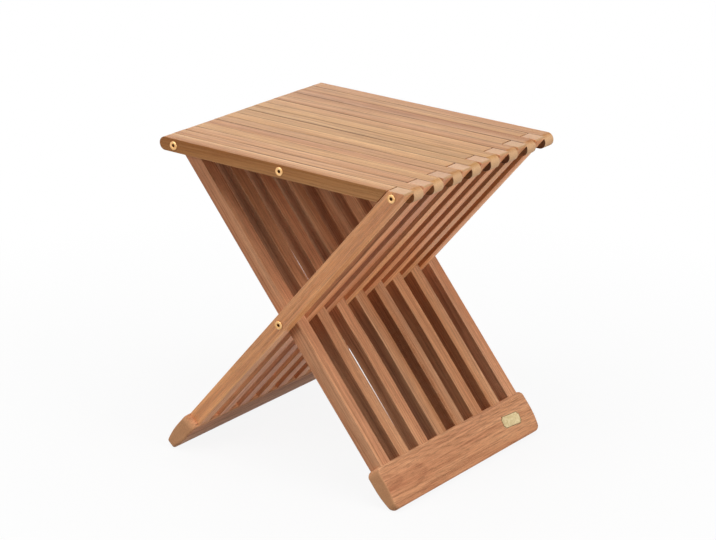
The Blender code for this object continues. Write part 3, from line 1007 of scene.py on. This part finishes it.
seat_teak = teak(
    "bare_seat_teak",
    length_axis=(1, 0, 0),
    half_size=(SLAT_WIDTH / 2, HALF_THICK),
    colours=SEAT_TINTS,
    figure=0.7,
    seam=0.9,
    gloss=0.25,
    seam_reach=SIDE_FACE - SEAM_EDGE,
)
hinge_leg_teak = teak(
    "bare_hinge_leg_teak",
    length_axis=(math.cos(LEG_ANGLE), 0, math.sin(LEG_ANGLE)),
    half_size=(SLAT_WIDTH / 2, HALF_LEG),
    colours=HINGE_TINTS,
    figure=0.8,
    seam=0.2,
    gloss=0.7,
)
hook_leg_teak = teak(
    "bare_hook_leg_teak",
    length_axis=(math.cos(LEG_ANGLE), 0, -math.sin(LEG_ANGLE)),
    half_size=(SLAT_WIDTH / 2, HALF_LEG),
    colours=HOOK_TINTS,
    figure=0.8,
    seam=0.2,
    gloss=0.2,
)
foot_teak = teak(
    "bare_foot_teak",
    length_axis=(0, 1, 0),
    half_size=(FOOT_HEIGHT / 2, FOOT_THICK / 2),
    colours=FOOT_TINTS,
    figure=0.8,
    seam=0.0,
    gloss=0.15,
    stroke=FOOT_STROKE,
    pith=True,
)
ring_brass = turned_brass("ring_brass", RING_BRIGHT, RING_DULL)
plate_brass = turned_brass("plate_brass", PLATE_BRIGHT, PLATE_DULL)

row = board_row_tree()
short = plain_object("short_slat", short_slat())
long = plain_object("long_slat", long_slat())
leaning = plain_object("hinge_leg", hinge_leg())
hooked = plain_object("hook_leg", hook_leg())
seat_slats = repeated(
    "seat_slats",
    row,
    odd_board=short,
    even_board=long,
    boards=COLUMNS,
    first=(0, column_y(1), 0),
    step=(0, PITCH, 0),
    uneven=UNEVEN,
    seed=SEAT_SEED,
    wood=seat_teak,
)
hinge_legs = repeated(
    "hinge_legs",
    row,
    odd_board=leaning,
    even_board=leaning,
    boards=PAIRS,
    first=(0, column_y(1), 0),
    step=(0, 2 * PITCH, 0),
    uneven=(0, UNEVEN[1], 0),
    seed=HINGE_SEED,
    first_column=1.0,
    bow=BOW,
    wood=hinge_leg_teak,
)
hook_legs = repeated(
    "hook_legs",
    row,
    odd_board=hooked,
    even_board=hooked,
    boards=PAIRS,
    first=(0, column_y(2), 0),
    step=(0, 2 * PITCH, 0),
    uneven=(0, UNEVEN[1], 0),
    seed=HOOK_SEED,
    first_column=2.0,
    bow=BOW,
    wood=hook_leg_teak,
)
for pattern in (short, long, leaning, hooked):
    bpy.data.objects.remove(pattern)
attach(seat_slats, "seat")
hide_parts(*[f"seat_slat_{column:02d}" for column in range(1, COLUMNS + 1)])
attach(hinge_legs, "hinge_frame")
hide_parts(*[f"hinge_leg_{pair}" for pair in range(1, PAIRS + 1)])
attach(hook_legs, "hook_frame")
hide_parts(*[f"hook_leg_{pair}" for pair in range(1, PAIRS + 1)])

for name, side, body, number in (
    ("hinge_foot", -1, "hinge_frame", HINGE_FOOT_NUMBER),
    ("hook_foot", 1, "hook_frame", HOOK_FOOT_NUMBER),
):
    mesh = foot_bar(name + "_bar", side)
    own = mesh.attributes.new("board", "FLOAT", "POINT")
    own.data.foreach_set("value", [number] * len(mesh.vertices))
    mesh.materials.append(foot_teak)
    bar = even_flats(name + "_bar", plain_object(name + "_bar", mesh))
    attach(bar, body)
    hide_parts(name)

rings = axle_rings_tree()
ring = plain_object("eyelet", eyelet())
for name, body, axles in (
    ("seat_rings", "seat", (("hook", HOOK), ("middle", MIDDLE))),
    ("frame_rings", "hinge_frame", (("hinge", HINGE), ("cross", CROSS))),
):
    piece = repeated(
        name,
        rings,
        ring=ring,
        first_axle=axles[0][1],
        second_axle=axles[1][1],
        front_end=(0, -SIDE_FACE - FIT, 0),
        back_end=(0, SIDE_FACE + FIT, 0),
        brass=ring_brass,
    )
    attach(piece, body)
    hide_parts(*[f"{axle}_ring_{end}" for axle, _ in axles for end in ("front", "back")])
bpy.data.objects.remove(ring)
for axle in ("hook", "middle", "hinge", "cross"):
    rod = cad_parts[axle + "_axle"]
    rod.data.materials.clear()
    rod.data.materials.append(ring_brass)

plate = plain_object("foot_plate", bare_plate())
plate.data.materials.append(plate_brass)
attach(plate, "hook_frame")

# Floor, light and camera


def direct_rays(tree):
    """Light paths of a tree, and 1 for those that show a surface: seen, mirrored or through glass."""
    path = node(tree, "ShaderNodeLightPath").outputs
    seen = calc(tree, "MAXIMUM", path["Is Camera Ray"], path["Is Glossy Ray"])
    return path, calc(tree, "MAXIMUM", seen, path["Is Transmission Ray"])


def floor_finish():
    """White floor that shows to the camera as the background does, and keeps the shadow."""
    skin = bpy.data.materials.new("white_floor")
    skin.use_nodes = True
    tree = skin.node_tree
    tree.nodes.clear()
    path, seen = direct_rays(tree)
    place = node(tree, "ShaderNodeTexCoord").outputs["Object"]
    apart = vectors(tree, "LENGTH", place, output="Value")
    shown = blend(tree, path["Is Camera Ray"], grey(FLOOR_BOUNCE), grey(FLOOR_PALE))
    matt = node(tree, "ShaderNodeBsdfDiffuse", {}, Color=shown)
    white = node(tree, "ShaderNodeEmission", {}, Color=WHITE, Strength=1.0)
    share = calc(tree, "MULTIPLY", seen, spread(tree, apart, FLOOR_WHITE, 1.0, FLOOR_NEAR, FLOOR_FAR))
    mixed = node(tree, "ShaderNodeMixShader", {}, i0=share, i1=matt.outputs[0], i2=white.outputs[0])
    end = tree.nodes.new("ShaderNodeOutputMaterial")
    tree.links.new(mixed.outputs[0], end.inputs[0])
    return skin


def make_floor():
    mesh = bpy.data.meshes.new("studio_floor")
    corners = [(x * FLOOR_REACH, y * FLOOR_REACH, 0) for x, y in ((-1, -1), (1, -1), (1, 1), (-1, 1))]
    mesh.from_pydata(corners, [], [(0, 1, 2, 3)])
    mesh.materials.append(floor_finish())
    floor = plain_object("studio_floor", mesh)


def make_world():
    """White background for the camera, with little light of its own."""
    world = bpy.data.worlds.new("studio")
    world.use_nodes = True
    bpy.context.scene.world = world
    tree = world.node_tree
    tree.nodes.clear()
    _, seen = direct_rays(tree)
    soft = node(tree, "ShaderNodeBackground", {}, Color=WHITE, Strength=AROUND)
    white = node(tree, "ShaderNodeBackground", {}, Color=WHITE, Strength=1.0)
    mixed = node(tree, "ShaderNodeMixShader", {}, i0=seen, i1=soft.outputs[0], i2=white.outputs[0])
    end = tree.nodes.new("ShaderNodeOutputWorld")
    tree.links.new(mixed.outputs[0], end.inputs[0])


def softbox(name, at, aim, width, power):
    lamp = bpy.data.lights.new(name, "AREA")
    lamp.shape = "SQUARE"
    lamp.size = width
    lamp.energy = power
    held = plain_object(name, lamp)
    held.location = at
    held.rotation_euler = (Vector(aim) - Vector(at)).to_track_quat("-Z", "Y").to_euler()


def make_camera():
    lens = bpy.data.cameras.new("photo_camera")
    lens.sensor_width = SENSOR_WIDTH
    lens.sensor_fit = "HORIZONTAL"
    lens.lens = CAMERA_FOCUS * SENSOR_WIDTH / IMAGE_WIDTH
    lens.clip_end = FAR_CLIP
    flat = math.cos(CAMERA_RISE)
    back = Vector((math.sin(CAMERA_TURN) * flat, -math.cos(CAMERA_TURN) * flat, math.sin(CAMERA_RISE)))
    level = Vector((0, 0, 1)).cross(back).normalized()
    top = back.cross(level)
    right = level * math.cos(CAMERA_ROLL) + top * math.sin(CAMERA_ROLL)
    up = top * math.cos(CAMERA_ROLL) - level * math.sin(CAMERA_ROLL)
    held = plain_object("photo_camera", lens)
    turn = Matrix((right, up, back)).transposed().to_4x4()
    held.matrix_world = Matrix.Translation(CAMERA_AT) @ turn
    bpy.context.scene.camera = held


make_floor()
make_world()
for name, (at, aim, width, power) in SOFTBOXES.items():
    softbox(name, at, aim, width, power)
make_camera()
bpy.context.scene.view_settings.view_transform = "Standard"
